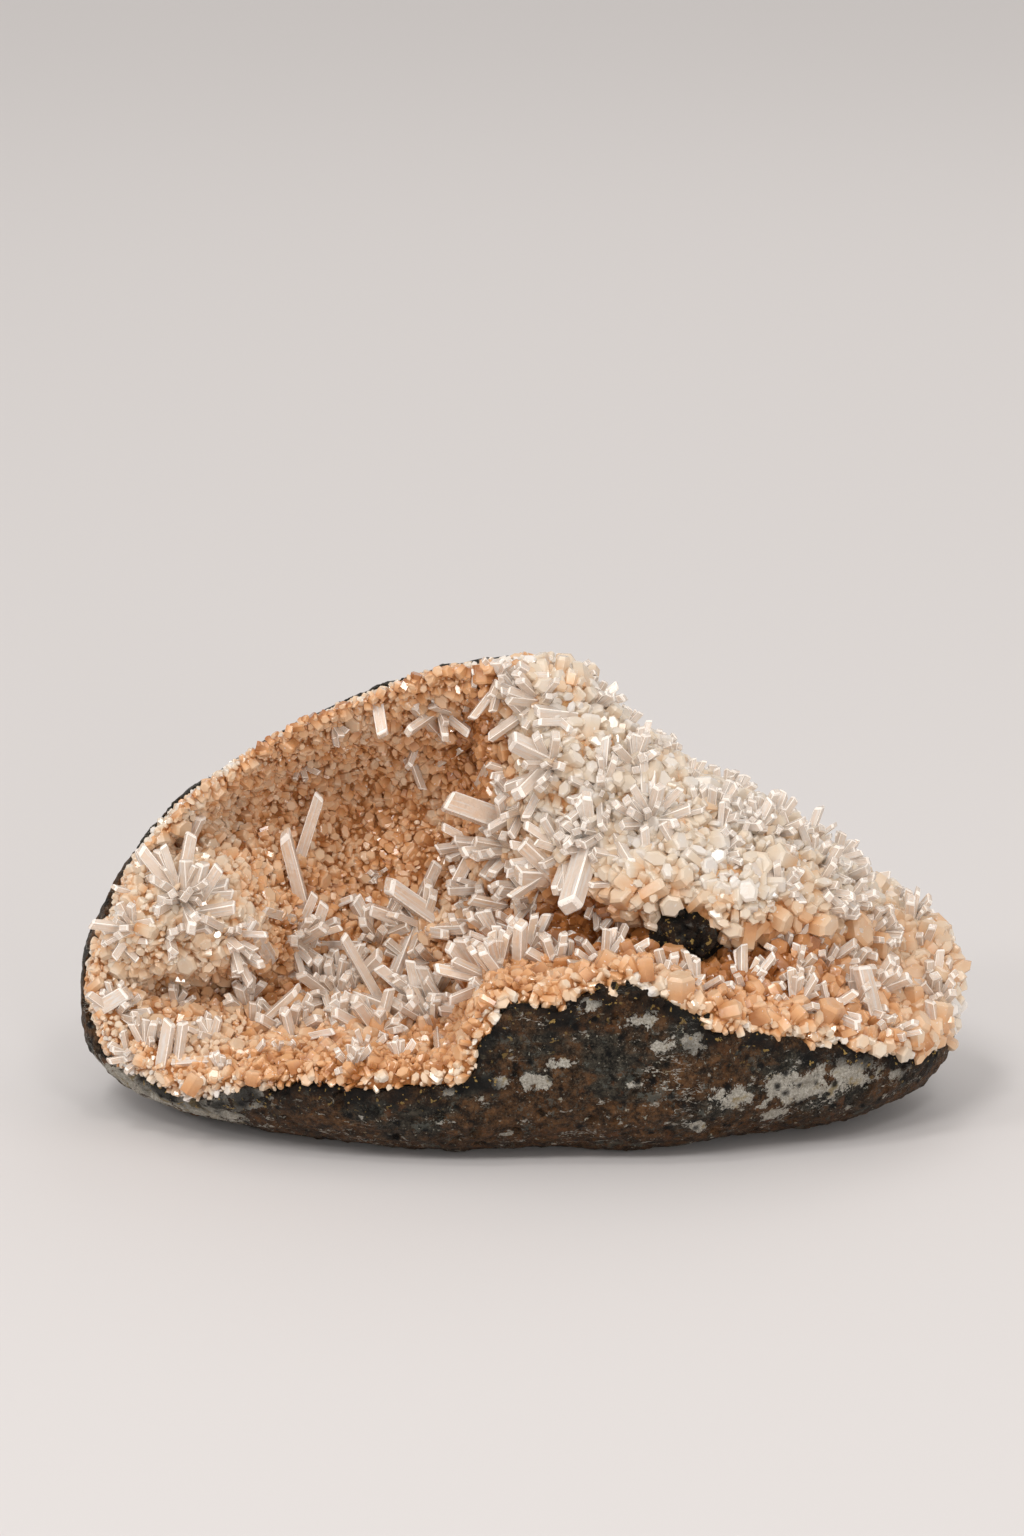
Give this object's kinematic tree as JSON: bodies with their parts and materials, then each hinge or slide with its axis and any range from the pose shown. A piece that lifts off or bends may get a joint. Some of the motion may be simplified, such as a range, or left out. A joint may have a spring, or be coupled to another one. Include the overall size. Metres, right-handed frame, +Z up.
{
  "type": "heulandite cluster",
  "caption": "Broken egg-shaped basalt nodule whose open hollow is lined with peach and cream heulandite and long clear prisms; rests on its flat underside.",
  "frame": {"origin": "centre of the bounding box in plan, on the flat underside that the specimen rests on", "axes": "+X along the nodule towards its low end, +Y away from the open side, +Z up"},
  "size_m": [0.1197, 0.0682, 0.0627],
  "materials": {
    "basalt": "rough brown-black rock with rust, blue-grey flecks, pits and cream zeolite patches",
    "heulandite": "pearly to glassy peach, cream and white crystals, the long prisms clear"
  },
  "bodies": {
    "root": {"basalt_matrix": "basalt", "heulandite_crust": "heulandite"}
  },
  "joints": []
}
